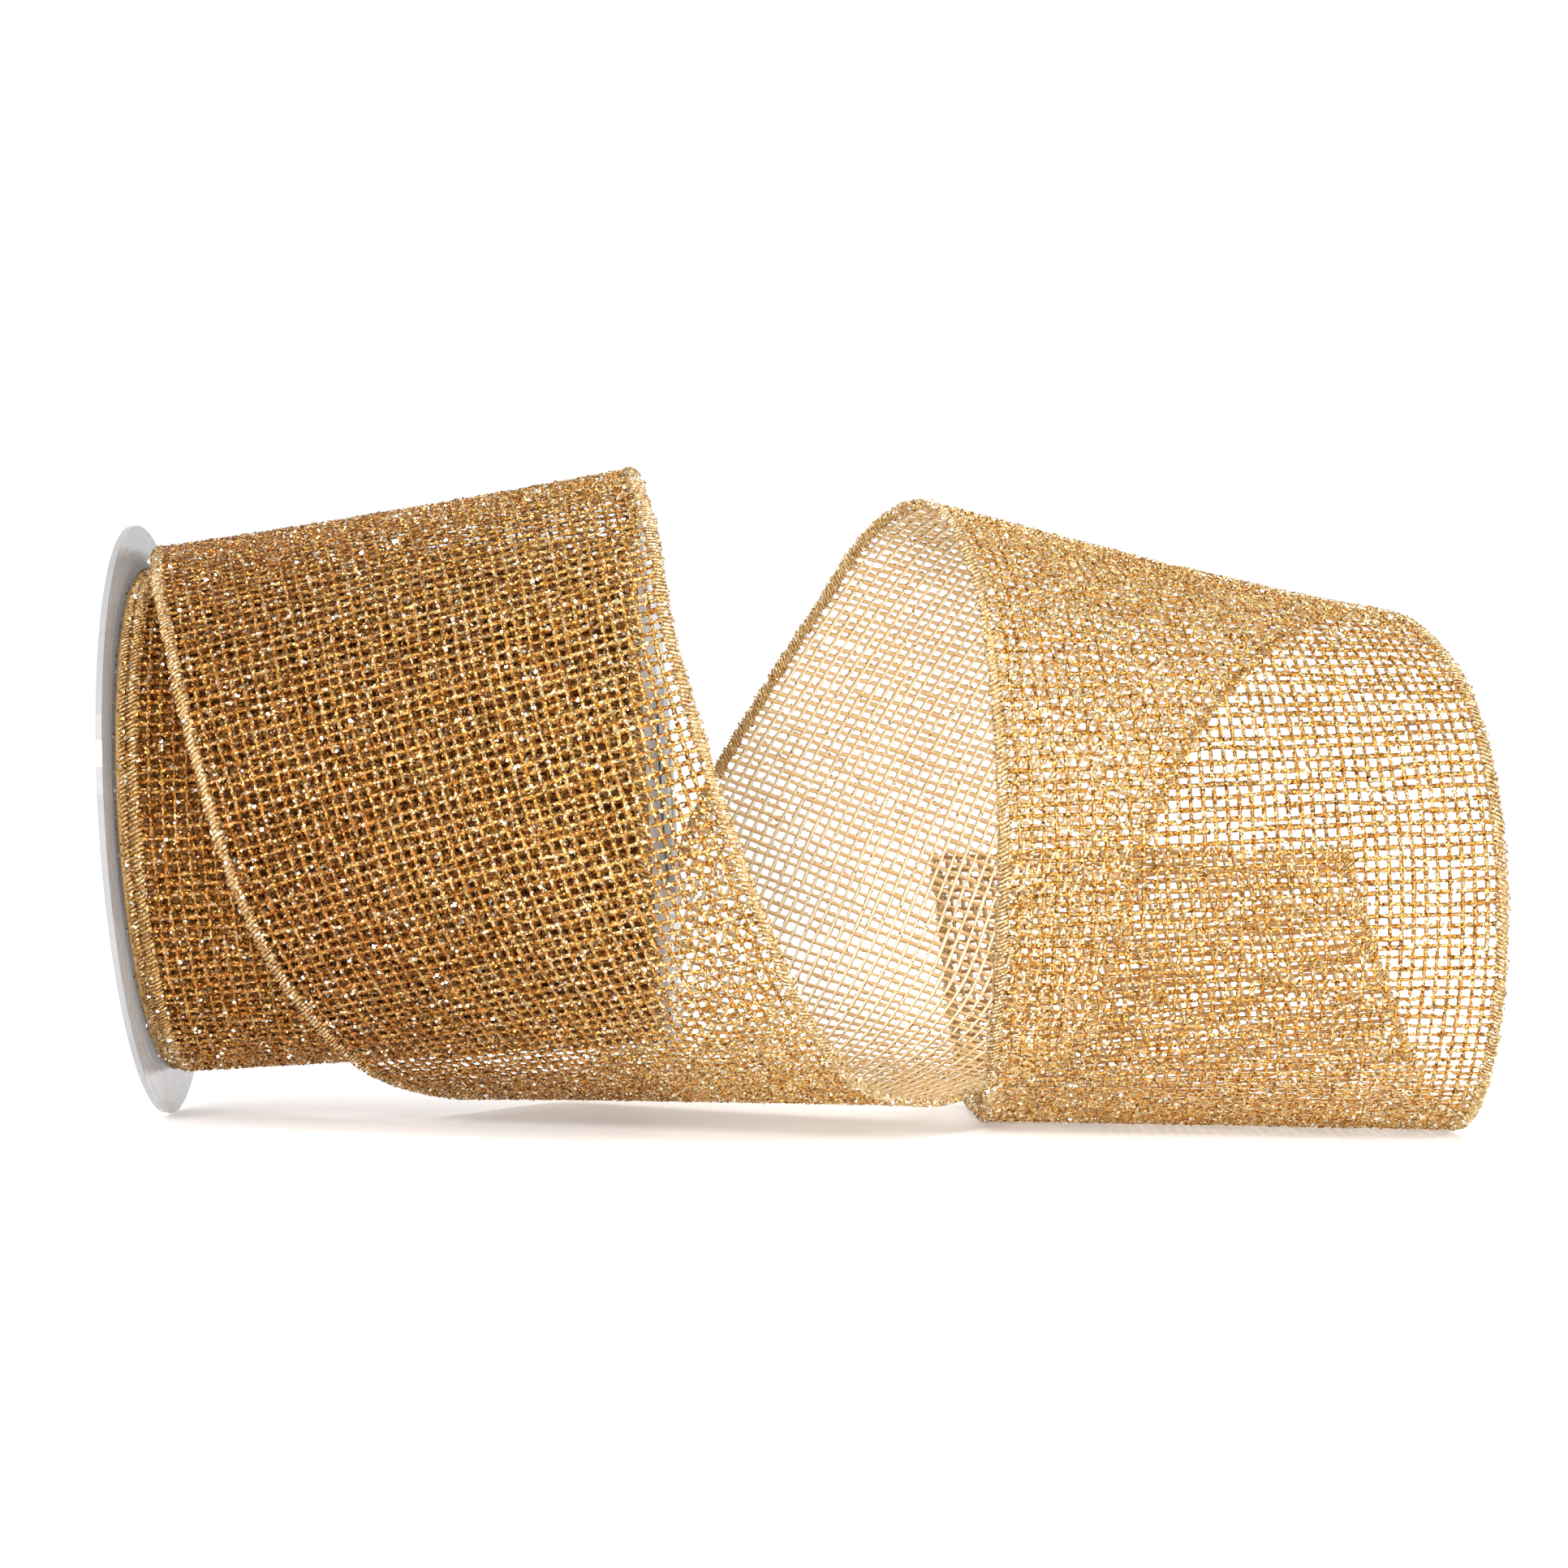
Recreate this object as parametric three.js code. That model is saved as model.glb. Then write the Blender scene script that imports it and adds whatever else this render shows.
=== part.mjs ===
// A spool of wired mesh ribbon lying on its side. Its outer turn is loose and is pulled out to the right.
// Millimetres, +Z up, the front is -Y. The object stands on Z = 0 and is centred over the origin.
import * as THREE from 'three';

// ---- driving dimensions -------------------------------------------------------------------------
const RIBBON_WIDTH = 101.6;
const MESH_T = 1.0;              // thickness of the open mesh
const BINDING_W = 2.4;           // width of the thread binding along each edge
const BINDING_RISE = 0.4;        // how far the binding stands proud of the mesh, on the inner face
const BINDING_WALL = 0.2;
const BINDING_FOLD = 0.5;        // thickness of the fold at the ribbon's very edge
const WIRE_T = 0.4;
const GAP = 0.3;                 // clearance between pieces that touch

const FLANGE_R = 60.3;
const FLANGE_T = 1.2;
const FLANGE_SPACING = 103;      // between the two inner faces
const FLANGE_HOLE_R = 19;
const CORE_OUTER_R = 21;
const CORE_INNER_R = 19;
const ROLL_R = 52;               // the wound ribbon
const TAPE_T = 0.3;
const TAPE_LENGTH = 60;
const TAPE_ARC = 0.7;            // radians

const PLUG_BORE_R = 8;
const PLUG_LIP_R = 22;
const PLUG_LIP_T = 1.2;
const PLUG_DEPTH = 14;
const PLUG_WALL = 2;

const SPOOL_TILT = THREE.MathUtils.degToRad(4.8);   // the ribbon under the right flange props that end up
const SPOOL_X = -133.5;          // the left flange's inner face, on the axis
const SPOOL_Y = -16;

const ROUND = 72;                // sides of the large circles
const ROUND_SMALL = 40;

// The loose ribbon's two edges, from the place where it leaves the roll, over the top, down the front, under
// the right flange, up the back, over a second time and down to the cut end. Each row is one place along the
// ribbon, about 28 mm from the last: the left edge's x, y, z and then the right edge's.
const RIBBON = [
  [-134, 35.5, 76, -33, 35.5, 84.5],
  [-135, 29.5, 88.5, -34, 30.5, 96],
  [-136.5, 12, 109.5, -36, 13.5, 117.5],
  [-135.5, -14.5, 115.5, -38, -10, 131.5],
  [-132, -41, 109.5, -36, -37, 132],
  [-125.5, -63.5, 95.5, -31, -61.5, 119.5],
  [-118, -73, 72, -26.5, -80.5, 99.5],
  [-110, -68.5, 46.5, -19, -91, 76],
  [-100, -54, 25.5, -9.5, -91, 50],
  [-88, -34.5, 11, 1, -80, 27],
  [-75, -11.5, 4.5, 12.5, -59, 12],
  [-63, 13.5, 3, 26, -34, 7],
  [-50, 38, 5, 38, -9, 7.5],
  [-38, 52.5, 23, 52, 13.5, 10],
  [-30.5, 49.5, 49, 64, 34, 16.5],
  [-22.5, 33.5, 69.5, 71.5, 52, 36],
  [-12, 16, 88, 78, 55, 62],
  [0, 0.5, 107.5, 88, 45.5, 85.5],
  [11.5, -17.5, 124, 100, 27, 102],
  [22.5, -41, 127, 112, 3, 109.5],
  [30.5, -62, 111, 124, -21.5, 106],
  [34.5, -70, 85, 132, -42.5, 90],
  [36.5, -66, 58, 136.5, -51.5, 64.5],
  [37, -53, 34, 138.5, -47, 37.5],
  [37, -34.5, 13, 139, -31, 15],
  [37.5, -10.5, 2.5, 139.5, -6, 3.5],
  [37.5, 16.5, 1.5, 139.5, 21.5, 1.5],
  [36.5, 44, 2, 138, 48, 11],
  [34, 69, 16, 135, 71, 27],
  [30.5, 72, 42, 130.5, 88, 48],
  [28.5, 70, 55.5, 128, 92, 59.5],
];
// Where the loose mesh is cut into nodes, as rows of RIBBON.
const MESH_NODES = [
  ['outer_turn_mesh', 0, 10],
  ['rising_mesh', 10, 18],
  ['front_loop_mesh', 18, 25],
  ['tail_mesh', 25, 30],
];
const STEPS_PER_ROW = 3;
const MESH_DIVISIONS = 5;        // across the ribbon

// ---- materials ----------------------------------------------------------------------------------
const clearPlastic = () => new THREE.MeshStandardMaterial({ color: 0xc4c6c8, roughness: 0.25, metalness: 0 });
const hubPlastic = () => new THREE.MeshStandardMaterial({ color: 0xdedfe0, roughness: 0.4, metalness: 0 });
const cardboard = () => new THREE.MeshStandardMaterial({ color: 0xb39468, roughness: 0.9, metalness: 0 });
const paperTape = () => new THREE.MeshStandardMaterial({ color: 0xe6dcc0, roughness: 0.8, metalness: 0 });
const goldMesh = () => new THREE.MeshStandardMaterial({ color: 0xb88a3e, roughness: 0.35, metalness: 0.7 });
const goldThread = () => new THREE.MeshStandardMaterial({ color: 0xd8b870, roughness: 0.45, metalness: 0.5 });
const steelWire = () => new THREE.MeshStandardMaterial({ color: 0xb8bcc0, roughness: 0.3, metalness: 1 });

// ---- shape helpers ------------------------------------------------------------------------------
// A closed ring about the local X axis, from an outline of [x, radius] points that goes outwards at its
// low-x end.
function ring(outline, sides) {
  const profile = outline.map(([x, r]) => new THREE.Vector2(r, x));
  profile.push(profile[0].clone());
  return new THREE.LatheGeometry(profile, sides).rotateZ(-Math.PI / 2);
}

function boxRing(x0, x1, r0, r1, sides) {
  return ring([[x0, r0], [x0, r1], [x1, r1], [x1, r0]], sides);
}

function named(name, geometry, material) {
  const mesh = new THREE.Mesh(geometry, material);
  mesh.name = name;
  return mesh;
}

// A solid through a row of closed sections. outline is the same section in its own plane, for the end caps.
function loft(sections, outline) {
  const count = outline.length;
  const position = sections.flat().flatMap((p) => [p.x, p.y, p.z]);
  const index = [];
  for (let i = 0; i + 1 < sections.length; i += 1) {
    for (let j = 0; j < count; j += 1) {
      const a = i * count + j;
      const b = i * count + (j + 1) % count;
      index.push(a, b, a + count, b, b + count, a + count);
    }
  }
  const last = (sections.length - 1) * count;
  for (const [a, b, c] of THREE.ShapeUtils.triangulateShape(outline, [])) {
    index.push(a, c, b, last + a, last + b, last + c);
  }
  const geometry = new THREE.BufferGeometry();
  geometry.setAttribute('position', new THREE.Float32BufferAttribute(position, 3));
  geometry.setIndex(index);
  geometry.computeVertexNormals();
  return geometry;
}

// ---- the ribbon's surface -----------------------------------------------------------------------
const edgeCurve = (column) => new THREE.CatmullRomCurve3(
  RIBBON.map((row) => new THREE.Vector3(...row.slice(column, column + 3))), false, 'catmullrom', 0.5);
const leftEdge = edgeCurve(0);
const rightEdge = edgeCurve(3);

// One place along the ribbon, as a row number with a fraction: its edges, the unit vector across it and the
// unit normal of its outer face.
function place(row) {
  const at = (curve, r) => curve.getPoint(THREE.MathUtils.clamp(r / (RIBBON.length - 1), 0, 1));
  const middle = (r) => at(leftEdge, r).add(at(rightEdge, r)).multiplyScalar(0.5);
  const left = at(leftEdge, row);
  const right = at(rightEdge, row);
  const across = right.clone().sub(left).normalize();
  const along = middle(row + 0.05).sub(middle(row - 0.05));
  const outward = along.cross(across).normalize();
  return { left, right, across, outward };
}

// Sections of a solid that follows the ribbon. Each point of outline has an inset, measured from the ribbon's
// left edge, or back from its right edge where it is marked so, and a height along the outward normal.
function follow(rows, outline) {
  const sections = rows.map((row) => {
    const { left, right, across, outward } = place(row);
    const width = left.distanceTo(right);
    return outline.map(({ inset, height, fromRight, share }) => {
      const span = share === undefined ? inset : inset + share * (width - 2 * inset);
      const edge = fromRight ? right : left;
      const onRibbon = edge.clone().addScaledVector(across, fromRight ? -span : span);
      return onRibbon.addScaledVector(outward, height);
    });
  });
  const flat = outline.map(({ inset, height, fromRight, share }) => {
    const span = share === undefined ? inset : inset + share * (RIBBON_WIDTH - 2 * inset);
    return new THREE.Vector2(fromRight ? RIBBON_WIDTH - span : span, height);
  });
  return loft(sections, flat);
}

function rowsBetween(first, last) {
  const steps = Math.round((last - first) * STEPS_PER_ROW);
  return Array.from({ length: steps + 1 }, (_, i) => first + (last - first) * i / steps);
}

// ---- loose ribbon -------------------------------------------------------------------------------
const MESH_INSET = BINDING_W + GAP;
const OUTER = MESH_T / 2;
const INNER = -MESH_T / 2 - BINDING_RISE;
const WIRE_HEIGHT = (OUTER + INNER) / 2;
const WIRE_INSET = 1.1;
const CUT = 0.006;               // half the gap between two mesh nodes, in rows

function meshOutline() {
  const lower = Array.from({ length: MESH_DIVISIONS + 1 }, (_, i) => i / MESH_DIVISIONS);
  return [
    ...lower.map((share) => ({ inset: MESH_INSET, share, height: -MESH_T / 2 })),
    ...lower.reverse().map((share) => ({ inset: MESH_INSET, share, height: MESH_T / 2 })),
  ];
}

// The binding is folded over the edge, as a channel that is open towards the mesh and holds the wire.
function bindingOutline(fromRight) {
  const points = [
    [0, INNER], [BINDING_W, INNER], [BINDING_W, INNER + BINDING_WALL], [BINDING_FOLD, INNER + BINDING_WALL],
    [BINDING_FOLD, OUTER - BINDING_WALL], [BINDING_W, OUTER - BINDING_WALL], [BINDING_W, OUTER], [0, OUTER],
  ].map(([inset, height]) => ({ inset, height, fromRight }));
  return fromRight ? points.reverse() : points;
}

function wireOutline(fromRight) {
  const half = WIRE_T / 2;
  const points = [
    [WIRE_INSET - half, WIRE_HEIGHT - half], [WIRE_INSET + half, WIRE_HEIGHT - half],
    [WIRE_INSET + half, WIRE_HEIGHT + half], [WIRE_INSET - half, WIRE_HEIGHT + half],
  ].map(([inset, height]) => ({ inset, height, fromRight }));
  return fromRight ? points.reverse() : points;
}

function looseRibbon() {
  const group = new THREE.Group();
  const end = RIBBON.length - 1;
  for (const [name, first, last] of MESH_NODES) {
    const rows = rowsBetween(first + (first === 0 ? 0 : CUT), last - (last === end ? 0 : CUT));
    group.add(named(name, follow(rows, meshOutline()), goldMesh()));
  }
  const rows = rowsBetween(0, end);
  for (const [side, fromRight] of [['left', false], ['right', true]]) {
    group.add(named(`${side}_edge_binding`, follow(rows, bindingOutline(fromRight)), goldThread()));
    group.add(named(`${side}_edge_wire`, follow(rows, wireOutline(fromRight)), steelWire()));
  }
  return group;
}

// ---- spool --------------------------------------------------------------------------------------
// The plug for the left flange: a lip outside it, a sleeve that grips the core and a bore for a dispenser
// rod.
function plug() {
  const lipIn = -FLANGE_T - GAP;
  const lipOut = lipIn - PLUG_LIP_T;
  const sleeve = CORE_INNER_R - GAP;
  const web = lipIn + PLUG_WALL / 2;
  return ring([
    [lipOut, PLUG_BORE_R], [lipOut, PLUG_LIP_R], [lipIn, PLUG_LIP_R], [lipIn, sleeve], [PLUG_DEPTH, sleeve],
    [PLUG_DEPTH, sleeve - PLUG_WALL], [web, sleeve - PLUG_WALL], [web, PLUG_BORE_R + PLUG_WALL],
    [PLUG_DEPTH, PLUG_BORE_R + PLUG_WALL], [PLUG_DEPTH, PLUG_BORE_R],
  ], ROUND_SMALL);
}

// The tape that holds the ribbon's inner end on the core.
function tape() {
  const inner = CORE_OUTER_R + GAP;
  const shape = new THREE.Shape();
  shape.absarc(0, 0, inner + TAPE_T, 0, TAPE_ARC, false);
  shape.absarc(0, 0, inner, TAPE_ARC, 0, true);
  const extrusion = { depth: TAPE_LENGTH, bevelEnabled: false, curveSegments: 8 };
  const solid = new THREE.ExtrudeGeometry(shape, extrusion);
  return solid.rotateY(Math.PI / 2).translate((FLANGE_SPACING - TAPE_LENGTH) / 2, 0, 0);
}

function spool() {
  const group = new THREE.Group();
  const far = FLANGE_SPACING;
  const rollStart = (far - RIBBON_WIDTH) / 2;
  const rollEnd = far - rollStart;
  const rollInner = CORE_OUTER_R + 2 * GAP + TAPE_T;
  const flange = () => boxRing(-FLANGE_T, 0, FLANGE_HOLE_R, FLANGE_R, ROUND);
  const wound = (x0, x1) => boxRing(x0, x1, rollInner, ROLL_R, ROUND);

  group.add(named('left_flange', flange(), clearPlastic()));
  group.add(named('right_flange', flange().translate(far + FLANGE_T, 0, 0), clearPlastic()));
  group.add(named('left_hub_plug', plug(), hubPlastic()));
  group.add(named('right_hub_plug', plug().rotateZ(Math.PI).translate(far, 0, 0), hubPlastic()));
  const core = boxRing(GAP, far - GAP, CORE_INNER_R, CORE_OUTER_R, ROUND_SMALL);
  group.add(named('core_tube', core, cardboard()));
  group.add(named('start_tape', tape(), paperTape()));
  group.add(named('wound_mesh', wound(rollStart + MESH_INSET, rollEnd - MESH_INSET), goldMesh()));
  group.add(named('wound_left_binding', wound(rollStart, rollStart + BINDING_W), goldThread()));
  group.add(named('wound_right_binding', wound(rollEnd - BINDING_W, rollEnd), goldThread()));

  const axisZ = FLANGE_R * Math.cos(SPOOL_TILT) + FLANGE_T * Math.sin(SPOOL_TILT);
  group.position.set(SPOOL_X, SPOOL_Y, axisZ);
  group.rotation.y = -SPOOL_TILT;
  return group;
}

const ribbonSpool = new THREE.Group();
ribbonSpool.add(looseRibbon(), spool());
export default ribbonSpool;
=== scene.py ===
# A spool of gold glitter mesh ribbon with wired edges, lying on its side with its outer turn pulled out.
# Metres, in the CAD model's own frame: +X from the spool towards the loose ribbon, -Y the front, +Z up.
import math
import bpy
import numpy as np
from mathutils import Matrix, Vector


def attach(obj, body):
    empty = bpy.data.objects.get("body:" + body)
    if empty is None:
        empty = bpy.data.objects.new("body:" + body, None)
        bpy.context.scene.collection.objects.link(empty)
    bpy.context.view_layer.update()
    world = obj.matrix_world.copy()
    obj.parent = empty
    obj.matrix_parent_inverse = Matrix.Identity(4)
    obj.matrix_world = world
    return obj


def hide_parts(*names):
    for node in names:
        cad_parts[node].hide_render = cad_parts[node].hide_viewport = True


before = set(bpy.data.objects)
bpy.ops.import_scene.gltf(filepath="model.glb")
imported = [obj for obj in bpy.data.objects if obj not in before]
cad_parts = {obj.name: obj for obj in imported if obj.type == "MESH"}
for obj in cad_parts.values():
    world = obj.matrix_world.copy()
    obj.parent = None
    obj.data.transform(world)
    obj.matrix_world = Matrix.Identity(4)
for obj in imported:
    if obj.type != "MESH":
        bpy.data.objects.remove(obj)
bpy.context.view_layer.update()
MM = 0.001
RNG = np.random.default_rng(7)

# ---- the ribbon ----------------------------------------------------------------------------------
RIBBON_WIDTH = 101.6 * MM
BINDING_W = 2.4 * MM
WARPS = 39                       # lengthwise yarns
WEFT_PITCH = 2.25 * MM
YARN_R = 0.37 * MM
STEP = 1.15 * MM                 # between the rings of a lengthwise yarn
WEAVE = 0.1 * MM                 # how far a yarn rises over the one that it crosses
SWELL_OVER = 30 * MM             # the length over which the tail's yarn grows thicker

# The same rows of left and right edge points, in millimetres, as the CAD ribbon follows. They aren't chosen
# by hand: a least-squares fit to edges seen in the photo made them, and they were then rounded and adjusted.
RIBBON = np.array([
    [-134, 35.5, 76, -33, 35.5, 84.5],
    [-135, 29.5, 88.5, -34, 30.5, 96],
    [-136.5, 12, 109.5, -36, 13.5, 117.5],
    [-135.5, -14.5, 115.5, -38, -10, 131.5],
    [-132, -41, 109.5, -36, -37, 132],
    [-125.5, -63.5, 95.5, -31, -61.5, 119.5],
    [-118, -73, 72, -26.5, -80.5, 99.5],
    [-110, -68.5, 46.5, -19, -91, 76],
    [-100, -54, 25.5, -9.5, -91, 50],
    [-88, -34.5, 11, 1, -80, 27],
    [-75, -11.5, 4.5, 12.5, -59, 12],
    [-63, 13.5, 3, 26, -34, 7],
    [-50, 38, 5, 38, -9, 7.5],
    [-38, 52.5, 23, 52, 13.5, 10],
    [-30.5, 49.5, 49, 64, 34, 16.5],
    [-22.5, 33.5, 69.5, 71.5, 52, 36],
    [-12, 16, 88, 78, 55, 62],
    [0, 0.5, 107.5, 88, 45.5, 85.5],
    [11.5, -17.5, 124, 100, 27, 102],
    [22.5, -41, 127, 112, 3, 109.5],
    [30.5, -62, 111, 124, -21.5, 106],
    [34.5, -70, 85, 132, -42.5, 90],
    [36.5, -66, 58, 136.5, -51.5, 64.5],
    [37, -53, 34, 138.5, -47, 37.5],
    [37, -34.5, 13, 139, -31, 15],
    [37.5, -10.5, 2.5, 139.5, -6, 3.5],
    [37.5, 16.5, 1.5, 139.5, 21.5, 1.5],
    [36.5, 44, 2, 138, 48, 11],
    [34, 69, 16, 135, 71, 27],
    [30.5, 72, 42, 130.5, 88, 48],
    [28.5, 70, 55.5, 128, 92, 59.5],
]) * MM
MESH_NODES = (                   # each with its first and last row
    ("outer_turn_mesh", 0, 10),
    ("rising_mesh", 10, 18),
    ("front_loop_mesh", 18, 25),
    ("tail_mesh", 25, 30),
)

# ---- the spool -----------------------------------------------------------------------------------
TILT = math.radians(4.8)
SPOOL_AT = np.array([-133.5, -16, 60.19]) * MM
SPOOL_AXIS = np.array([math.cos(TILT), 0, math.sin(TILT)])
SPOOL_UP = np.array([-math.sin(TILT), 0, math.cos(TILT)])
SPOOL_ACROSS = np.array([0.0, 1.0, 0.0])
ROLL_START = 0.7 * MM
ROLL_R = 52 * MM
ROLL_INNER_R = 21.9 * MM
LAYER = 0.85 * MM                # thickness of one wound turn
RING_PITCH = 2.5 * MM            # between the flanges' moulded rings


def unit(v):
    return v / np.linalg.norm(v, axis=-1, keepdims=True)


def spline(points, u):
    """The uniform Catmull-Rom curve through points, at the row numbers u."""
    count = len(points)
    i = np.clip(u.astype(int), 0, count - 2)
    f = (u - i)[..., None]
    ghosts = np.vstack([2 * points[0] - points[1], points, 2 * points[-1] - points[-2]])
    p0, p1, p2, p3 = ghosts[i], ghosts[i + 1], ghosts[i + 2], ghosts[i + 3]
    slope = p2 - p0
    bend = 2 * p0 - 5 * p1 + 4 * p2 - p3
    twist = 3 * p1 - p0 - 3 * p2 + p3
    return 0.5 * (2 * p1 + slope * f + bend * f ** 2 + twist * f ** 3)


class Loose:
    """The loose ribbon's surface. u is the length along its middle, in metres."""

    def __init__(self):
        rows = np.linspace(0, len(RIBBON) - 1, 3001)
        middle = (spline(RIBBON[:, :3], rows) + spline(RIBBON[:, 3:], rows)) / 2
        self.rows = rows
        self.lengths = np.concatenate([[0], np.cumsum(np.linalg.norm(np.diff(middle, axis=0), axis=1))])

    def length_at(self, row):
        return float(np.interp(row, self.rows, self.lengths))

    def at(self, u, share):
        """Places on the surface, with the unit vectors outward, across and along."""
        row = np.clip(np.interp(u, self.lengths, self.rows), 0, len(RIBBON) - 1)
        left, right = spline(RIBBON[:, :3], row), spline(RIBBON[:, 3:], row)
        lo, hi = np.clip(row - 0.05, 0, len(RIBBON) - 1), np.clip(row + 0.05, 0, len(RIBBON) - 1)
        middle = lambda r: spline(RIBBON[:, :3], r) + spline(RIBBON[:, 3:], r)
        along = unit(middle(hi) - middle(lo))
        across = unit(right - left)
        outward = unit(np.cross(along, across))
        return left + (right - left) * share[..., None], outward, across, along


class Wound:
    """One turn of the wound ribbon. u is the length around it."""

    def __init__(self, radius, phase, shift=0.0):
        self.shift = shift
        self.radius = radius
        self.phase = phase
        self.length = 2 * math.pi * radius

    def at(self, u, share):
        angle = (u / self.radius + self.phase)[..., None]
        outward = np.cos(angle) * SPOOL_UP - np.sin(angle) * SPOOL_ACROSS
        along = -np.sin(angle) * SPOOL_UP - np.cos(angle) * SPOOL_ACROSS
        across = np.broadcast_to(SPOOL_AXIS, outward.shape)
        x = (ROLL_START + self.shift + share * (RIBBON_WIDTH - self.shift))[..., None]
        return SPOOL_AT + x * SPOOL_AXIS + self.radius * outward, outward, across, along


# ---- mesh making ---------------------------------------------------------------------------------
def wander(shape, knots):
    """Smooth noise of about unit size along the last axis."""
    n = shape[-1]
    coarse = RNG.standard_normal(shape[:-1] + (max(4, n // knots + 2),))
    where = np.linspace(0, coarse.shape[-1] - 1.001, n)
    i = where.astype(int)
    f = where - i
    f = f * f * (3 - 2 * f)
    return coarse[..., i] * (1 - f) + coarse[..., i + 1] * f


def capped(rows):
    """Rows with their first and last places repeated, for the ends of tubes."""
    return np.concatenate([rows[:, :1], rows, rows[:, -1:]], axis=1)


def tubes(centre, first, second, radius, sides, crust=0.0, closed=False, squash=1.0):
    """Tubes along rows of centres. first and second span each section.

    The last thing returned is how far each vertex faces first, from -1 to 1.
    """
    angles = np.arange(sides) * 2 * math.pi / sides + math.pi / 2
    c = np.sin(angles)[:, None]
    s = np.cos(angles)[:, None]
    if not closed:
        centre, first, second = (capped(np.broadcast_to(v, centre.shape)) for v in (centre, first, second))
        radius = capped(radius)
        radius[:, [0, -1]] *= 0.001
    rough = 1 + crust * RNG.random(radius.shape + (sides,)) * (0.5 + 0.5 * np.sin(angles))
    r = (radius[..., None] * rough)[..., None]
    verts = centre[..., None, :] + r * (squash * c * first[..., None, :] + s * second[..., None, :])
    count, n = centre.shape[0], centre.shape[1]
    steps = n if closed else n - 1
    t, i, j = np.meshgrid(np.arange(count), np.arange(steps), np.arange(sides), indexing="ij")
    at = lambda a, b: (t * n + a % n) * sides + b % sides
    quads = np.stack([at(i, j), at(i, j + 1), at(i + 1, j + 1), at(i + 1, j)], axis=-1).reshape(-1, 4)
    outer = np.broadcast_to(np.sin(angles), radius.shape + (sides,)).reshape(-1)
    return verts.reshape(-1, 3), quads, outer


def flakes(centre, first, second, radius, per_mm, step, large=0.07):
    """Glitter: small facets at random over the half of the tubes that faces first; a few large, pale ones
    are painted glints.
    """
    rows, n = radius.shape
    count = int(rows * (n - 1) * step / MM * per_mm)
    first, second = (np.broadcast_to(v, centre.shape) for v in (first, second))
    t, i = RNG.integers(0, rows, count), RNG.integers(0, n - 1, count)
    f = RNG.random(count)[:, None]
    angle = RNG.uniform(-1.35, 1.35, count)[:, None]
    facing = np.cos(angle) * first[t, i] + np.sin(angle) * second[t, i]
    middle = centre[t, i] * (1 - f) + centre[t, i + 1] * f + facing * radius[t, i][:, None] * 1.08
    normal = unit(facing + 0.62 * RNG.standard_normal((count, 3)))
    side = unit(np.cross(normal, RNG.standard_normal((count, 3))))
    other = np.cross(normal, side)
    shade = RNG.random(count) * 0.86
    size = RNG.uniform(0.12, 0.27, count)
    # The large pale flakes take the near-white end of the flake colours: painted glints.
    pale = RNG.random(count) < large
    shade[pale] = 1.0
    size[pale] = RNG.uniform(0.26, 0.42, pale.sum())
    size = size[:, None] * MM
    outline = ((-1, -0.7), (1, -0.8), (0.9, 0.7), (-0.8, 0.8))
    corners = [middle + size * (a * side + b * other) for a, b in outline]
    verts = np.stack(corners, axis=1).reshape(-1, 3)
    return verts, np.arange(4 * count).reshape(-1, 4), np.ones(4 * count), np.repeat(shade, 4)


def add_mesh(name, parts, material, body, replaces=(), smooth=True):
    """One object from several (verts, quads, outer, kind) sets; kind is a number that the material reads."""
    verts = np.concatenate([p[0] for p in parts])
    starts = np.cumsum([0] + [len(p[0]) for p in parts[:-1]])
    quads = np.concatenate([p[1] + start for p, start in zip(parts, starts)])
    outer = np.concatenate([p[2] for p in parts])
    kind = np.concatenate([np.broadcast_to(np.asarray(p[3], float), len(p[0])) for p in parts])
    mesh = bpy.data.meshes.new(name)
    mesh.vertices.add(len(verts))
    mesh.vertices.foreach_set("co", verts.astype(np.float32).ravel())
    mesh.loops.add(quads.size)
    mesh.loops.foreach_set("vertex_index", quads.astype(np.int32).ravel())
    mesh.polygons.add(len(quads))
    mesh.polygons.foreach_set("loop_start", np.arange(0, quads.size, 4, dtype=np.int32))
    mesh.update(calc_edges=True)
    mesh.validate()
    mesh.polygons.foreach_set("use_smooth", np.full(len(mesh.polygons), smooth))
    for label, values in (("outer", outer), ("kind", kind)):
        layer = mesh.attributes.new(label, "FLOAT", "POINT")
        layer.data.foreach_set("value", values.astype(np.float32))
    mesh.materials.append(material)
    made = bpy.data.objects.new(name, mesh)
    bpy.context.scene.collection.objects.link(made)
    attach(made, body)
    if replaces:
        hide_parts(*replaces)
    return made


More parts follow.
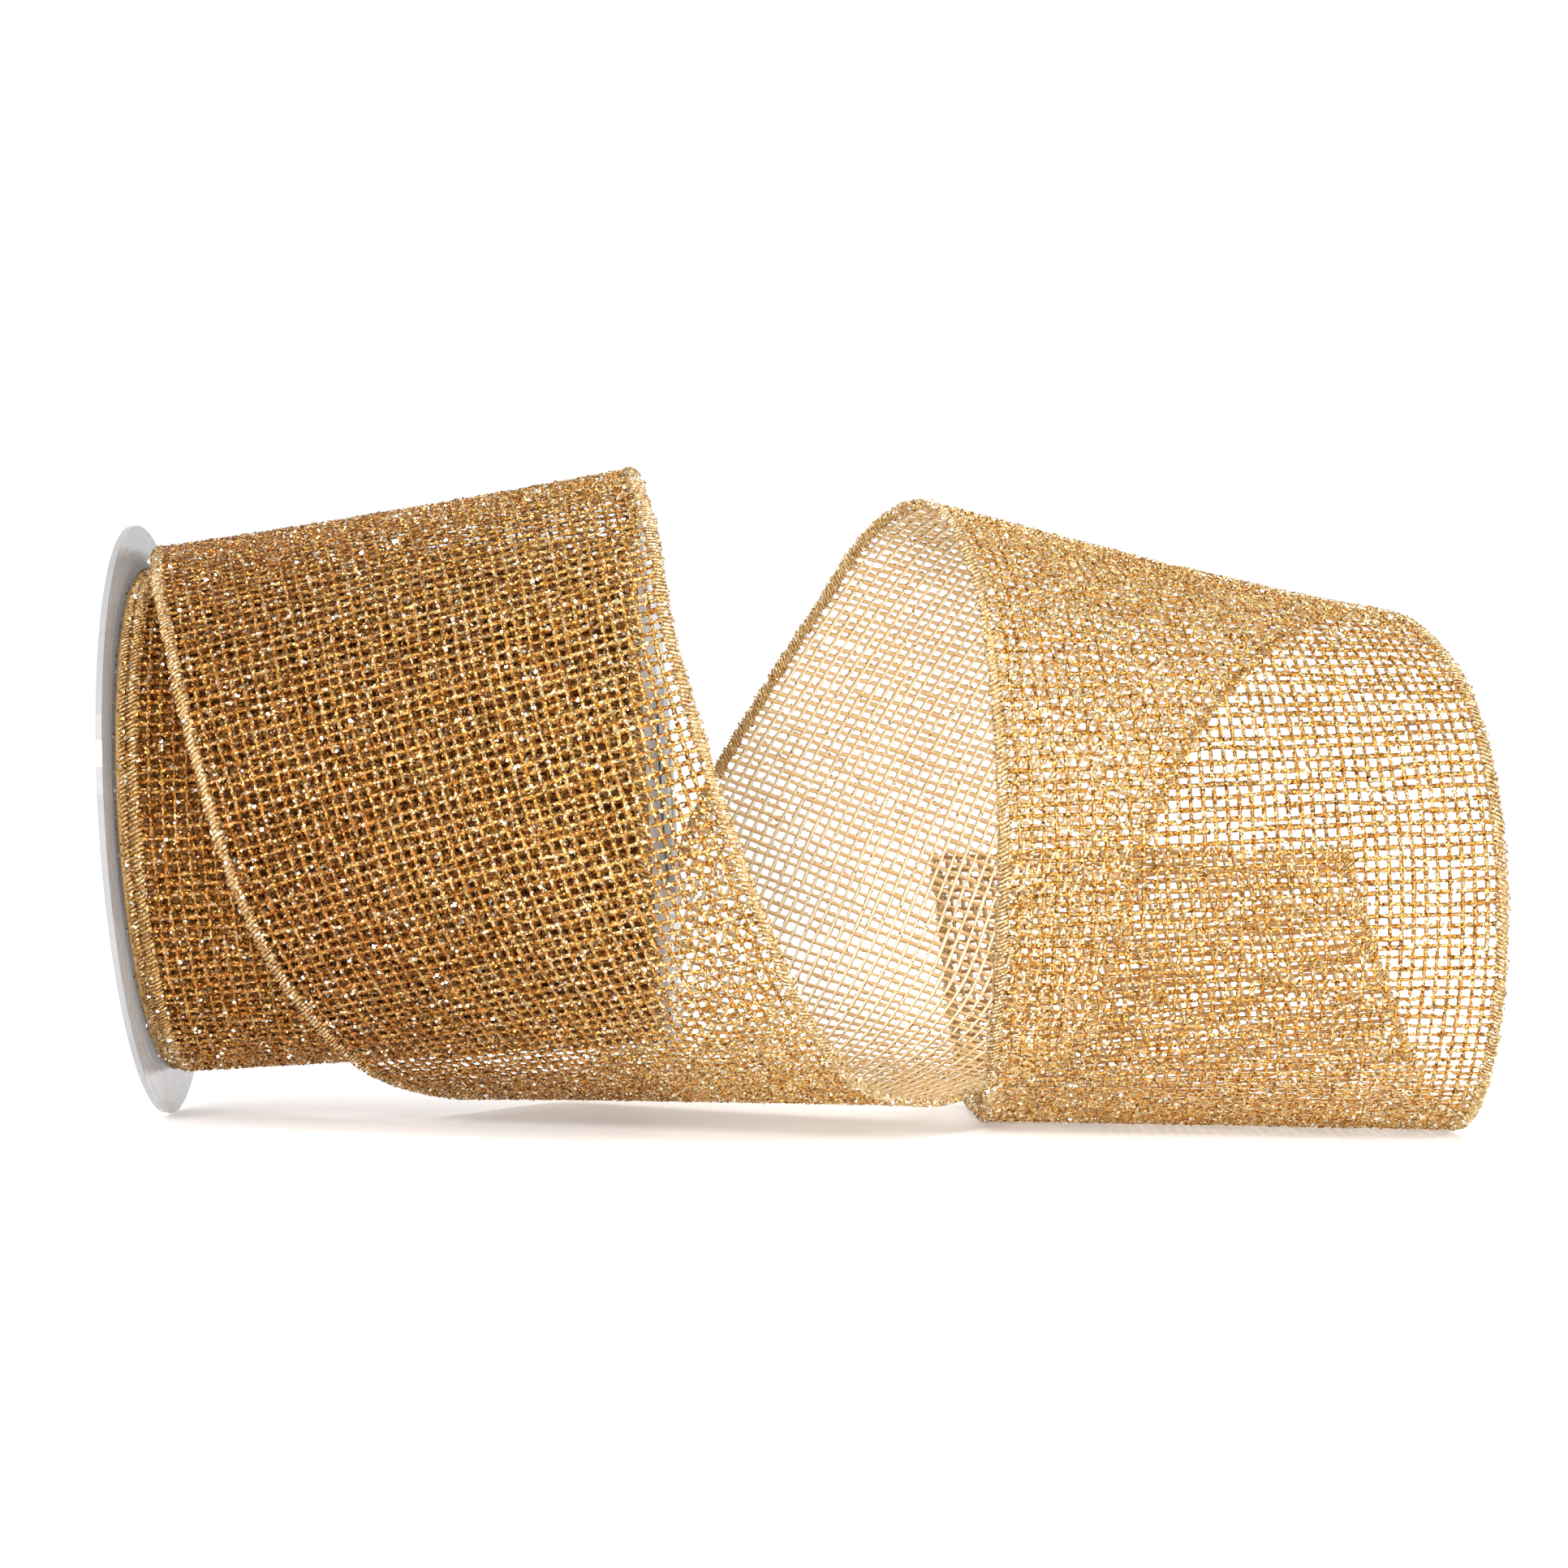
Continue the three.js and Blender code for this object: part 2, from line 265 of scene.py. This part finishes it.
def net(surface, start, end, sides=5, closed=False, yarn=YARN_R, per_mm=3.0, swell=0.0):
    """The open mesh of a stretch of ribbon, as lengthwise and crosswise yarns, and its glitter."""
    inset = BINDING_W / RIBBON_WIDTH * 0.75
    shares = np.linspace(inset, 1 - inset, WARPS + 2)[1:-1]
    pitch = shares[1] - shares[0]
    n = max(8, round((end - start) / STEP))
    u = np.linspace(start, end, n, endpoint=not closed)
    phase = u / WEFT_PITCH * math.pi
    drift = wander((WARPS, n), 14) * 0.0009
    share = shares[:, None] + drift
    place, outward, across, _ = surface.at(np.broadcast_to(u, share.shape), share)
    over = np.where(np.arange(WARPS) % 2, 1, -1)[:, None]
    lift = WEAVE * np.cos(phase)[None] * over
    thicker = 1 + swell * np.clip((u - start) / SWELL_OVER, 0, 1)
    radius = yarn * thicker * (1 + 0.16 * wander((WARPS, n), 2))
    centre = place + lift[..., None] * outward
    warp = tubes(centre, outward, across, radius, sides, 0.4, closed)
    glitter_on = [flakes(centre, outward, across, radius, per_mm, STEP)]
    if not closed:
        glitter_on.append(flakes(centre, -outward, across, radius, 0.3, STEP))

    wefts = int((end - start) / WEFT_PITCH)
    k = 2 * (WARPS + 1) + 1
    across_at = np.linspace(inset, 1 - inset, k)
    base = start + (np.arange(wefts) + 0.5) * (end - start) / wefts
    along_at = base[:, None] + 0.22 * MM * wander((wefts, k), 10)
    along_at = np.clip(along_at, start, end)
    place, outward, _, along = surface.at(along_at, np.broadcast_to(across_at, along_at.shape))
    under = np.where(np.arange(wefts) % 2, -1, 1)[:, None]
    lift = WEAVE * np.cos(math.pi * across_at / pitch)[None] * under
    thicker = 1 + swell * np.clip((base - start) / SWELL_OVER, 0, 1)[:, None]
    radius = yarn * 1.12 * thicker * (1 + 0.2 * wander((wefts, k), 2))
    centre = place + lift[..., None] * outward
    weft = tubes(centre, outward, along, radius, sides, 0.4, squash=0.72)
    glitter_on.append(flakes(centre, outward, along, radius, per_mm, pitch * RIBBON_WIDTH / 2))
    return [(*warp, 0), (*weft, 1)], glitter_on


def merrow(surface, start, end, from_right, closed=False, pitch=1.8 * MM, lean=1.0):
    """The overlocked thread over one edge, round its wire, with the padding under it."""
    height = -0.2 * MM
    half_w = BINDING_W / 2
    per_loop = 12
    loops = round((end - start) / pitch)
    t = np.arange(loops * per_loop + 1)
    parts = []
    glints = []
    for shift, size in ((0.0, 1.0), (0.5, 0.86)):
        turn = (t / per_loop + shift) * 2 * math.pi
        wobble = 1 + 0.16 * wander((1, len(t)), per_loop)[0]
        inset = half_w * (1 - 0.98 * size * np.cos(turn) * wobble)
        u = start + (end - start) * t / t[-1] + lean * pitch * 0.5 * np.cos(turn)
        u = np.clip(u, start, end)
        share = inset / RIBBON_WIDTH
        share = 1 - share if from_right else share
        place, outward, across, along = surface.at(u[None], share[None])
        centre = place + (height + 0.55 * MM * np.sin(turn))[None, :, None] * outward
        away = across if from_right else -across
        around = unit(np.sin(turn)[None, :, None] * outward + np.cos(turn)[None, :, None] * away)
        tangent = unit(np.gradient(centre[0], axis=0))[None]
        first = unit(np.cross(tangent, along + 0.01))
        second = unit(np.cross(tangent, first))
        radius = 0.31 * MM * (1 + 0.2 * wander((1, len(t)), 3))
        glints.append(flakes(centre, around, along, radius, 2.4, 0.5 * MM, large=0.15))
        verts, quads, _ = tubes(centre, first, second, radius, 4)
        facing = np.concatenate([turn[:1], turn, turn[-1:]])
        parts.append((verts, quads, np.repeat(np.sin(facing), 4), 2))
    n = max(8, round((end - start) / (2 * MM)))
    u = np.linspace(start, end, n)
    share = np.full(n, half_w / RIBBON_WIDTH)
    share = 1 - share if from_right else share
    place, outward, across, _ = surface.at(u[None], share[None])
    pad = tubes(place + height * outward, outward, across, np.full((1, n), half_w * 0.74), 8, squash=0.34)
    parts.append((*pad, 3))
    return parts, glints


# ---- materials -----------------------------------------------------------------------------------
def new_material(name):
    made = bpy.data.materials.new(name)
    made.use_nodes = True
    nodes = made.node_tree.nodes
    return made, nodes, made.node_tree.links, nodes["Principled BSDF"]


def node(nodes, kind, **values):
    made = nodes.new(kind)
    for key, value in values.items():
        if key in made.inputs:
            made.inputs[key].default_value = value
        else:
            setattr(made, key, value)
    return made


def ramp(nodes, stops, interpolation="LINEAR"):
    made = nodes.new("ShaderNodeValToRGB")
    made.color_ramp.interpolation = interpolation
    while len(made.color_ramp.elements) < len(stops):
        made.color_ramp.elements.new(1.0)
    for element, (position, colour) in zip(made.color_ramp.elements, stops):
        element.position = position
        element.color = (*colour, 1)
    return made


def mix(nodes, links, factor, a, b, blend="MIX"):
    made = nodes.new("ShaderNodeMix")
    made.data_type = "RGBA"
    made.blend_type = blend
    for socket, value in ((made.inputs[0], factor), (made.inputs[6], a), (made.inputs[7], b)):
        if hasattr(value, "is_linked"):
            links.new(value, socket)
        elif isinstance(value, tuple):
            socket.default_value = (*value, 1)
        else:
            socket.default_value = value
    return made.outputs[2]


def axis_distance(nodes, links, where):
    """How far each point is from the spool's axis."""
    arm = node(nodes, "ShaderNodeVectorMath", operation="SUBTRACT")
    links.new(where.outputs["Object"], arm.inputs[0])
    arm.inputs[1].default_value = SPOOL_AT
    square = node(nodes, "ShaderNodeVectorMath", operation="CROSS_PRODUCT")
    links.new(arm.outputs[0], square.inputs[0])
    square.inputs[1].default_value = SPOOL_AXIS
    length = node(nodes, "ShaderNodeVectorMath", operation="LENGTH")
    links.new(square.outputs[0], length.inputs[0])
    return length.outputs["Value"]


def painted_roll_shade(nodes, links, where, colour, shade_tint):
    """Painted shade: a deeper colour where the ribbon lies against the roll, which lets no light through
    from behind.
    """
    outside = node(nodes, "ShaderNodeMapRange", **{"From Min": 1.1 * ROLL_R, "From Max": 1.35 * ROLL_R})
    links.new(axis_distance(nodes, links, where), outside.inputs["Value"])
    split = node(nodes, "ShaderNodeSeparateXYZ")
    links.new(where.outputs["Object"], split.inputs[0])
    roll_right = SPOOL_AT[0] + RIBBON_WIDTH
    reach = {"From Min": roll_right - 4 * MM, "From Max": roll_right + 12 * MM}
    beyond = node(nodes, "ShaderNodeMapRange", **reach)
    links.new(split.outputs["X"], beyond.inputs["Value"])
    away = node(nodes, "ShaderNodeMath", operation="MAXIMUM")
    links.new(outside.outputs[0], away.inputs[0])
    links.new(beyond.outputs[0], away.inputs[1])
    roll_shaded = mix(nodes, links, 1.0, colour, shade_tint, "MULTIPLY")
    return mix(nodes, links, away.outputs[0], roll_shaded, colour)


def glitter(name, stops, inner_warp, inner_weft, shaded=None):
    """Yarn with flakes of glitter on the ribbon's outer face, and bare on its inner face.

    shaded, if given, is what the inner face's colours are multiplied by at the back.
    """
    made, nodes, links, shader = new_material(name)
    where = node(nodes, "ShaderNodeTexCoord")
    flakes = node(nodes, "ShaderNodeTexVoronoi", Scale=FLAKE_SCALE)
    links.new(where.outputs["Object"], flakes.inputs["Vector"])
    split = node(nodes, "ShaderNodeSeparateColor")
    links.new(flakes.outputs["Color"], split.inputs[0])
    colours = ramp(nodes, stops)
    links.new(split.outputs[0], colours.inputs[0])
    outer = node(nodes, "ShaderNodeAttribute", attribute_name="outer")
    kind = node(nodes, "ShaderNodeAttribute", attribute_name="kind")
    side = node(nodes, "ShaderNodeMapRange", **{"From Min": -0.25, "From Max": 0.15})
    links.new(outer.outputs["Fac"], side.inputs["Value"])
    grain = node(nodes, "ShaderNodeTexNoise", Scale=1500.0, Detail=2.0)
    links.new(where.outputs["Object"], grain.inputs["Vector"])
    # Painted highlight: a bright cream stripe down the inward-facing side of each lengthwise yarn, darker
    # cream at its sides.
    warp_highlight = node(nodes, "ShaderNodeMapRange", **{"From Min": -0.8, "From Max": -0.6})
    links.new(outer.outputs["Fac"], warp_highlight.inputs["Value"])
    warp = mix(nodes, links, warp_highlight.outputs[0], inner_warp[0], inner_warp[1])
    weft = mix(nodes, links, grain.outputs[0], inner_weft[0], inner_weft[1])
    bare = mix(nodes, links, kind.outputs["Fac"], warp, weft)
    if shaded:
        split_place = node(nodes, "ShaderNodeSeparateXYZ")
        links.new(where.outputs["Object"], split_place.inputs[0])
        behind = node(nodes, "ShaderNodeMapRange", **{"From Min": -10 * MM, "From Max": 40 * MM})
        links.new(split_place.outputs["Y"], behind.inputs["Value"])
        bare = mix(nodes, links, behind.outputs[0], bare, mix(nodes, links, 1.0, bare, shaded, "MULTIPLY"))
    base = mix(nodes, links, side.outputs[0], bare, colours.outputs[0])
    # The yarn's colour gets painted shade where the ribbon lies against the roll.
    links.new(painted_roll_shade(nodes, links, where, base, ROLL_SHADE), shader.inputs["Base Color"])
    metal = node(nodes, "ShaderNodeMapRange", **{"To Min": 0.05, "To Max": FLAKE_METAL})
    links.new(side.outputs[0], metal.inputs["Value"])
    links.new(metal.outputs[0], shader.inputs["Metallic"])
    shader.inputs["Roughness"].default_value = 0.24
    normal = node(nodes, "ShaderNodeNewGeometry")
    centre = node(nodes, "ShaderNodeVectorMath", operation="SUBTRACT")
    centre.inputs[1].default_value = (0.5, 0.5, 0.5)
    links.new(flakes.outputs["Color"], centre.inputs[0])
    amount = node(nodes, "ShaderNodeMapRange", **{"To Min": 0.1, "To Max": FLAKE_TUMBLE})
    links.new(side.outputs[0], amount.inputs["Value"])
    tilt = node(nodes, "ShaderNodeVectorMath", operation="SCALE")
    links.new(centre.outputs[0], tilt.inputs[0])
    links.new(amount.outputs[0], tilt.inputs["Scale"])
    total = node(nodes, "ShaderNodeVectorMath", operation="ADD")
    links.new(tilt.outputs[0], total.inputs[0])
    links.new(normal.outputs["Normal"], total.inputs[1])
    flat = node(nodes, "ShaderNodeVectorMath", operation="NORMALIZE")
    links.new(total.outputs[0], flat.inputs[0])
    links.new(flat.outputs[0], shader.inputs["Normal"])
    return made


def facets(name, stops):
    """Metallised film flakes, each of its own colour."""
    made, nodes, links, shader = new_material(name)
    kind = node(nodes, "ShaderNodeAttribute", attribute_name="kind")
    colours = ramp(nodes, stops)
    links.new(kind.outputs["Fac"], colours.inputs[0])
    where = node(nodes, "ShaderNodeTexCoord")
    # Painted shade where the flakes lie against the roll, except on the palest flakes, which are painted
    # glints.
    roll_shaded = painted_roll_shade(nodes, links, where, colours.outputs[0], ROLL_SHADE)
    pale = node(nodes, "ShaderNodeMapRange", **{"From Min": 0.88, "From Max": 0.95})
    links.new(kind.outputs["Fac"], pale.inputs["Value"])
    shown = mix(nodes, links, pale.outputs[0], roll_shaded, colours.outputs[0])
    links.new(shown, shader.inputs["Base Color"])
    scuffs = node(nodes, "ShaderNodeTexNoise", Scale=4000.0)
    links.new(where.outputs["Object"], scuffs.inputs["Vector"])
    gloss = node(nodes, "ShaderNodeMapRange", **{"To Min": 0.1, "To Max": 0.3})
    links.new(scuffs.outputs[0], gloss.inputs["Value"])
    links.new(gloss.outputs[0], shader.inputs["Roughness"])
    shader.inputs["Metallic"].default_value = 1.0
    return made


def thread(name, light, dark, inner):
    """Twisted metallic thread, browner on the ribbon's inner face."""
    made, nodes, links, shader = new_material(name)
    where = node(nodes, "ShaderNodeTexCoord")
    flecks = node(nodes, "ShaderNodeTexVoronoi", Scale=2600.0)
    links.new(where.outputs["Object"], flecks.inputs["Vector"])
    split = node(nodes, "ShaderNodeSeparateColor")
    links.new(flecks.outputs["Color"], split.inputs[0])
    between = tuple((a + b) / 2 for a, b in zip(light, dark))
    top = ramp(nodes, ((0.0, dark), (0.45, between), (0.8, light), (1.0, (1, 0.96, 0.82))))
    links.new(split.outputs[1], top.inputs[0])
    outer = node(nodes, "ShaderNodeAttribute", attribute_name="outer")
    side = node(nodes, "ShaderNodeMapRange", **{"From Min": -1.8, "From Max": 0.3})
    links.new(outer.outputs["Fac"], side.inputs["Value"])
    laid = mix(nodes, links, side.outputs[0], inner, top.outputs[0])
    kind = node(nodes, "ShaderNodeAttribute", attribute_name="kind")
    padding = node(nodes, "ShaderNodeMapRange", **{"From Min": 2.2, "From Max": 2.8})
    links.new(kind.outputs["Fac"], padding.inputs["Value"])
    base = mix(nodes, links, padding.outputs[0], laid, inner)
    # The thread gets a milder painted shade where it lies against the roll.
    links.new(painted_roll_shade(nodes, links, where, base, THREAD_ROLL_SHADE), shader.inputs["Base Color"])
    bump = node(nodes, "ShaderNodeBump", Strength=0.5, Distance=0.0002)
    links.new(flecks.outputs["Distance"], bump.inputs["Height"])
    links.new(bump.outputs[0], shader.inputs["Normal"])
    shader.inputs["Metallic"].default_value = 0.45
    shader.inputs["Roughness"].default_value = 0.35
    return made


def surface_material(name, light, dark, scale, roughness, bump, metallic=0.0, stretch=(1, 1, 1), glow=0.0):
    """Colour, roughness and relief that vary with noise at the given scale."""
    made, nodes, links, shader = new_material(name)
    where = node(nodes, "ShaderNodeTexCoord")
    mapping = node(nodes, "ShaderNodeMapping", Scale=stretch)
    links.new(where.outputs["Object"], mapping.inputs["Vector"])
    noise = node(nodes, "ShaderNodeTexNoise", Scale=scale, Detail=5.0, Roughness=0.6)
    links.new(mapping.outputs[0], noise.inputs["Vector"])
    links.new(mix(nodes, links, noise.outputs[0], dark, light), shader.inputs["Base Color"])
    gloss = node(nodes, "ShaderNodeMapRange", **{"To Min": roughness * 0.75, "To Max": roughness * 1.25})
    links.new(noise.outputs[0], gloss.inputs["Value"])
    links.new(gloss.outputs[0], shader.inputs["Roughness"])
    relief = node(nodes, "ShaderNodeBump", Strength=0.4, Distance=bump)
    links.new(noise.outputs[0], relief.inputs["Height"])
    links.new(relief.outputs[0], shader.inputs["Normal"])
    shader.inputs["Metallic"].default_value = metallic
    shader.inputs["Emission Color"].default_value = (1, 1, 1, 1)
    shader.inputs["Emission Strength"].default_value = glow
    return made


def moulded(name, light, dark, alpha):
    """Thin translucent plastic with faint rings about the spool's axis."""
    made, nodes, links, shader = new_material(name)
    where = node(nodes, "ShaderNodeTexCoord")
    rings = node(nodes, "ShaderNodeMath", operation="SINE")
    turns = node(nodes, "ShaderNodeMath", operation="MULTIPLY")
    turns.inputs[1].default_value = 2 * math.pi / RING_PITCH
    links.new(axis_distance(nodes, links, where), turns.inputs[0])
    links.new(turns.outputs[0], rings.inputs[0])
    cloud = node(nodes, "ShaderNodeTexNoise", Scale=90.0, Detail=4.0)
    links.new(where.outputs["Object"], cloud.inputs["Vector"])
    links.new(mix(nodes, links, cloud.outputs[0], dark, light), shader.inputs["Base Color"])
    relief = node(nodes, "ShaderNodeBump", Strength=0.3, Distance=0.0001)
    links.new(rings.outputs[0], relief.inputs["Height"])
    links.new(relief.outputs[0], shader.inputs["Normal"])
    gloss = node(nodes, "ShaderNodeMapRange", **{"To Min": 0.18, "To Max": 0.3})
    links.new(cloud.outputs[0], gloss.inputs["Value"])
    links.new(gloss.outputs[0], shader.inputs["Roughness"])
    shader.inputs["Alpha"].default_value = alpha
    shader.inputs["Coat Weight"].default_value = 0.1
    return made


FLAKE_SCALE = 2200
FLAKE_METAL = 0.65
FLAKE_TUMBLE = 1.7               # how far the flakes turn from the surface
# The near-white top stop of GOLD_STOPS is painted glints; the lower stops are the yarn's own gold and brown
# tones.
GOLD_STOPS = ((0.0, (0.30, 0.10, 0.012)), (0.25, (0.53, 0.215, 0.032)), (0.55, (0.68, 0.33, 0.062)),
              (0.76, (0.82, 0.57, 0.19)), (0.88, (0.97, 0.92, 0.62)))
# The near-white end of FLAKE_STOPS is painted glints; the lower stops are the flakes' own gold and brown
# tones.
FLAKE_STOPS = ((0.0, (0.335, 0.135, 0.022)), (0.3, (0.575, 0.29, 0.06)), (0.6, (0.82, 0.56, 0.165)),
               (0.82, (0.93, 0.83, 0.46)), (1.0, (0.98, 0.98, 0.88)))
# Multipliers of the painted shade where the ribbon lies against the roll: first for yarn and glitter, then
# for the thread.
ROLL_SHADE = (0.72, 0.57, 0.45)
THREAD_ROLL_SHADE = (0.9, 0.82, 0.72)
# CREAM's first colour is the painted highlight along the lengthwise yarns' inner side.
CREAM = ((0.96, 0.87, 0.62), (0.70, 0.47, 0.22))
RUST = ((0.60, 0.35, 0.13), (0.78, 0.56, 0.29))
SHADED = (0.60, 0.45, 0.27)

gold_mesh = glitter("gold_mesh", GOLD_STOPS, CREAM, RUST)
tail_mesh = glitter("tail_gold_mesh", GOLD_STOPS, CREAM, RUST, SHADED)
glitter_flakes = facets("glitter_flakes", FLAKE_STOPS)
champagne = thread("champagne_thread", (0.86, 0.68, 0.37), (0.36, 0.17, 0.04), (0.76, 0.52, 0.24))
wound_thread = thread("wound_thread", (0.86, 0.60, 0.26), (0.34, 0.17, 0.04), (0.44, 0.26, 0.10))
under_gold = surface_material("inner_turns", (0.66, 0.31, 0.06), (0.40, 0.16, 0.025), 900.0, 0.6, 0.0004)
coil_gold = surface_material("coiled_edges", (0.62, 0.42, 0.18), (0.3, 0.17, 0.05), 1400.0, 0.5, 0.0003)

CAD_LOOKS = {
    "left_flange": moulded("left_flange_plastic", (0.41, 0.41, 0.42), (0.34, 0.34, 0.35), 0.7),
    "right_flange": moulded("right_flange_plastic", (0.56, 0.56, 0.57), (0.47, 0.47, 0.48), 0.4),
    "left_hub_plug": surface_material(
        "hub_plastic", (0.44, 0.44, 0.45), (0.36, 0.36, 0.37), 160.0, 0.4, 0.00015),
    "core_tube": surface_material(
        "core_cardboard", (0.50, 0.35, 0.2), (0.38, 0.25, 0.13), 420.0, 0.9, 0.0004, stretch=(0.3, 1, 1)),
    "start_tape": surface_material(
        "tape_paper", (0.8, 0.74, 0.58), (0.7, 0.62, 0.45), 600.0, 0.7, 0.0002),
    "left_edge_wire": surface_material(
        "edge_wire", (0.62, 0.62, 0.63), (0.42, 0.42, 0.44), 1800.0, 0.3, 0.0001, metallic=1.0),
}
CAD_LOOKS["right_hub_plug"] = CAD_LOOKS["left_hub_plug"]
CAD_LOOKS["right_edge_wire"] = CAD_LOOKS["left_edge_wire"]
for name, look in CAD_LOOKS.items():
    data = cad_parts[name].data
    data.materials.clear()
    data.materials.append(look)


def sprinkled(name, glints, body):
    """The glitter of one piece, as flat flakes."""
    return add_mesh(name, glints, glitter_flakes, body, smooth=False)


# ---- loose ribbon --------------------------------------------------------------------------------
loose = Loose()
whole = loose.length_at(len(RIBBON) - 1)
for name, first, last in MESH_NODES:
    start, end = loose.length_at(first), loose.length_at(last)
    yarns, glints = net(loose, start, end, swell=0.2 if name == "tail_mesh" else 0.0)
    look = tail_mesh if name == "tail_mesh" else gold_mesh
    piece = add_mesh(name.replace("_mesh", "_net"), yarns, look, "loose_ribbon", [name])
    sprinkle = sprinkled(name.replace("_mesh", "_glitter"), glints, "loose_ribbon")
for side, from_right in (("left", False), ("right", True)):
    stitches, glints = merrow(loose, 0, whole, from_right)
    binding = [f"{side}_edge_binding"]
    add_mesh(f"{side}_edge_stitching", stitches, champagne, "loose_ribbon", binding)
    sprinkled(f"{side}_edge_glitter", glints, "loose_ribbon")

# ---- wound ribbon --------------------------------------------------------------------------------
outer_turn = Wound(ROLL_R - 0.5 * MM, 0.0, 2.4 * MM)
second_turn = Wound(ROLL_R - 1.4 * MM, 0.013)
for name, turn, yarn, per_mm in (("wound_outer", outer_turn, 0.47 * MM, 2.8),
                                 ("wound_second", second_turn, 0.56 * MM, 0.8)):
    yarns, glints = net(turn, 0, turn.length, 4, True, yarn, per_mm)
    stood_for = ["wound_mesh"] if turn is outer_turn else ()
    add_mesh(f"{name}_net", yarns, gold_mesh, "spool", stood_for)
    sprinkled(f"{name}_glitter", glints, "spool")


def turned(name, outline, material, sides=180, replaces=()):
    """A surface of revolution about the spool's axis, from (x, radius) points."""
    points = np.array(outline)
    angle = np.arange(sides) * 2 * math.pi / sides
    x = np.broadcast_to(points[:, 0][:, None], (len(points), sides))
    r = points[:, 1][:, None]
    spin = np.cos(angle)[:, None] * SPOOL_UP - np.sin(angle)[:, None] * SPOOL_ACROSS
    verts = SPOOL_AT + x[..., None] * SPOOL_AXIS + r[..., None] * spin[None]
    i, j = np.meshgrid(np.arange(len(points) - 1), np.arange(sides), indexing="ij")
    at = lambda a, b: a * sides + b % sides
    quads = np.stack([at(i, j), at(i, j + 1), at(i + 1, j + 1), at(i + 1, j)], axis=-1).reshape(-1, 4)
    flat = verts.reshape(-1, 3)
    return add_mesh(name, [(flat, quads, np.ones(len(flat)), 0)], material, "spool", replaces)


roll_end = ROLL_START + RIBBON_WIDTH
under_r = ROLL_R - 2.1 * MM
under = [(ROLL_START + 2 * MM, under_r), (roll_end - 2 * MM, under_r)]
turned("wound_inner_turns", under, under_gold)

turns = int((ROLL_R - ROLL_INNER_R) / LAYER)
for side, x, way in (("left", ROLL_START, 1), ("right", roll_end, -1)):
    outline = []
    for k in range(turns):
        r = ROLL_INNER_R + k * LAYER
        for share, depth in ((0.0, 1.3), (0.25, 0.35), (0.5, 0.05), (0.75, 0.35)):
            outline.append((x + way * depth * MM, r + share * LAYER))
    if way > 0:
        outline.reverse()
    turned(f"{side}_coiled_edges", outline, coil_gold, replaces=[f"wound_{side}_binding"])
    for number, turn in enumerate((outer_turn, second_turn)):
        stitches, glints = merrow(turn, 0, turn.length, side == "right")
        add_mesh(f"wound_{side}_stitching_{number + 1}", stitches, wound_thread, "spool")
        sprinkled(f"wound_{side}_glitter_{number + 1}", glints, "spool")

# ---- floor, light and camera ---------------------------------------------------------------------
FLOOR = 6.0                      # half its side
floor_mesh = bpy.data.meshes.new("floor")
floor_corners = [(x * FLOOR, y * FLOOR, 0) for x, y in ((-1, -1), (1, -1), (1, 1), (-1, 1))]
floor_mesh.from_pydata(floor_corners, [], [(0, 1, 2, 3)])
floor = bpy.data.objects.new("floor", floor_mesh)
floor.location.z = -0.0002
bpy.context.scene.collection.objects.link(floor)
pale = surface_material("lit_table", (0.96, 0.96, 0.96), (0.94, 0.94, 0.94), 3.0, 0.8, 0.00001, glow=0.26)
pale.cycles.emission_sampling = "NONE"
floor_mesh.materials.append(pale)

world = bpy.data.worlds.new("studio")
bpy.context.scene.world = world
world.use_nodes = True
sky = world.node_tree.nodes
direction = node(sky, "ShaderNodeTexCoord")
parts_of = node(sky, "ShaderNodeSeparateXYZ")
world.node_tree.links.new(direction.outputs["Generated"], parts_of.inputs[0])
dimming = {"From Min": 0.45, "From Max": 0.9, "To Min": 1.03, "To Max": 0.6}
ceiling = node(sky, "ShaderNodeMapRange", **dimming)
world.node_tree.links.new(parts_of.outputs["Z"], ceiling.inputs["Value"])
sky["Background"].inputs["Color"].default_value = (1, 1, 1, 1)
world.node_tree.links.new(ceiling.outputs[0], sky["Background"].inputs["Strength"])


def lamp(name, at, toward, size, energy, colour=(1, 1, 1)):
    data = bpy.data.lights.new(name, "AREA")
    data.size = size
    data.energy = energy
    data.color = colour
    made = bpy.data.objects.new(name, data)
    made.location = at
    made.rotation_euler = (Vector(toward) - Vector(at)).to_track_quat("-Z", "Y").to_euler()
    bpy.context.scene.collection.objects.link(made)


MIDDLE = (0, 0, 0.06)
lamp("key", (-0.3, -1.1, 0.55), MIDDLE, 0.25, 8)
lamp("side", (0.9, -0.6, 0.5), MIDDLE, 0.2, 3)
lamp("rear", (0.2, 0.9, 0.7), MIDDLE, 0.3, 4)
SPARKS = ((-0.9, -0.5, 0.25), (0.15, -1.0, 0.2), (-0.2, -0.6, 1.1), (0.5, -0.9, 0.7), (-0.6, 0.8, 0.4))
for number, at in enumerate(SPARKS):
    lamp(f"spark_{number + 1}", at, MIDDLE, 0.06, 1.2)

CAMERA_AT = (-0.005, -0.779, 0.0705)
LENS = 85.16
ROLL = math.radians(1.4)         # the picture leans: its right side is lower
camera_data = bpy.data.cameras.new("camera")
camera_data.lens = LENS
camera_data.sensor_width = 36
camera_data.clip_start = 0.01
camera_data.clip_end = 30
camera = bpy.data.objects.new("camera", camera_data)
bpy.context.scene.collection.objects.link(camera)
camera.matrix_world = Matrix((
    (math.cos(ROLL), -math.sin(ROLL), 0, CAMERA_AT[0]),
    (0, 0, -1, CAMERA_AT[1]),
    (math.sin(ROLL), math.cos(ROLL), 0, CAMERA_AT[2]),
    (0, 0, 0, 1),
))
bpy.context.scene.camera = camera
bpy.context.scene.view_settings.view_transform = "Standard"
bpy.context.scene.view_settings.look = "None"
